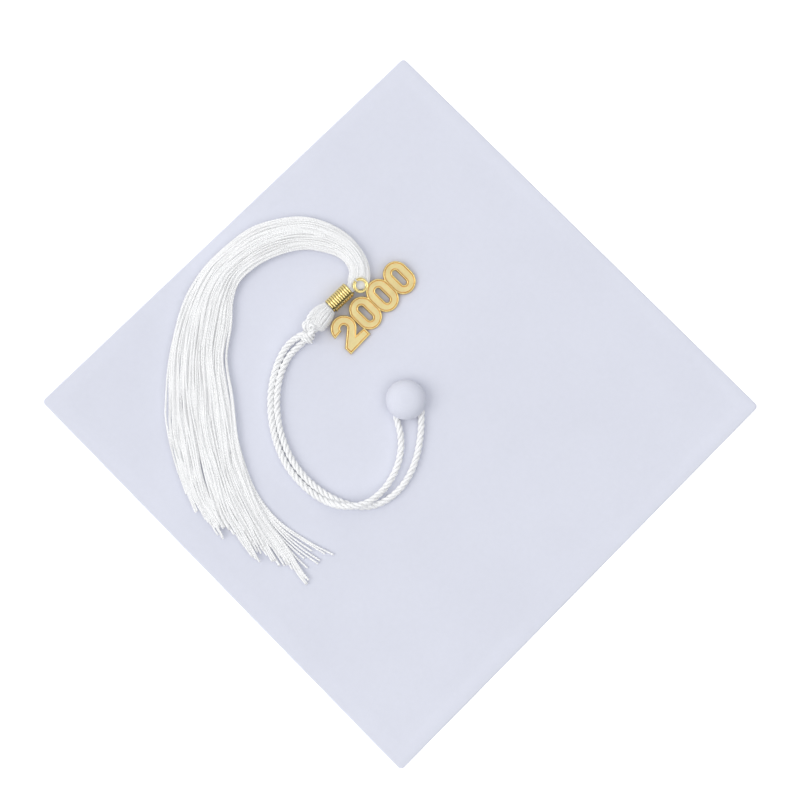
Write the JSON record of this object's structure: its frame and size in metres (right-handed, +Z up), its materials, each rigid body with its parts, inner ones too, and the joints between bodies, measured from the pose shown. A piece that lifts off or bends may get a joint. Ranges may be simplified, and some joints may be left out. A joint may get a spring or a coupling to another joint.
{
  "type": "graduation cap",
  "caption": "Academic square cap: cloth-covered flat board on a soft skull cap, with a covered button and a corded tassel that carries a metal numeral charm.",
  "frame": {"origin": "bottom centre: the plane of the skull cap's rim, under the middle of the board", "axes": "+Z up through the board; the wearer faces -Y, so one corner of the board points to -Y; +X is the wearer's left"},
  "size_m": [0.3394, 0.3394, 0.1021],
  "materials": {
    "greyboard": "matte",
    "cover_cloth": "matte",
    "interlining": "matte",
    "elastic": "matte",
    "button_metal": "satin",
    "tassel_rayon": "satin",
    "gold_wire": "polished",
    "gold_charm": "satin"
  },
  "bodies": {
    "cap": {"board_core": "greyboard", "top_cover": "cover_cloth", "bottom_cover": "cover_cloth", "button_cover": "cover_cloth", "button_shell": "button_metal", "button_back": "button_metal", "button_shank": "button_metal", "shank_washer": "button_metal", "skull_left": "cover_cloth", "skull_right": "cover_cloth", "stiffener_left": "interlining", "stiffener_right": "interlining", "sweatband": "interlining", "back_elastic": "elastic", "elastic_casing": "cover_cloth", "crown_tape": "cover_cloth"},
    "loop": {"tassel_cord": "tassel_rayon", "neck_knot": "tassel_rayon", "cord_knot": "tassel_rayon"},
    "tassel": {"tassel_head": "tassel_rayon", "strand_bundle": "tassel_rayon", "tassel_band": "gold_wire", "tassel_fringe": "tassel_rayon", "charm_tie": "tassel_rayon"},
    "charm": {"charm": "gold_charm"}
  },
  "joints": [
    {"name": "loop_turn", "type": "hinge", "parent": "cap", "child": "loop", "pos_m": [0.0016, 0.0014, 0.092], "axis": [0, 0, 1], "continuous": true},
    {"name": "tassel_sway", "type": "hinge", "parent": "loop", "child": "tassel", "pos_m": [-0.0434, 0.0362, 0.0963], "axis": [0, 0, 1], "range_deg": [-12, 12]},
    {"name": "charm_lift", "type": "hinge", "parent": "tassel", "child": "charm", "pos_m": [-0.02237, 0.05804, 0.09763], "axis": [-0.682, -0.7314, 0], "range_deg": [0, 100]}
  ]
}
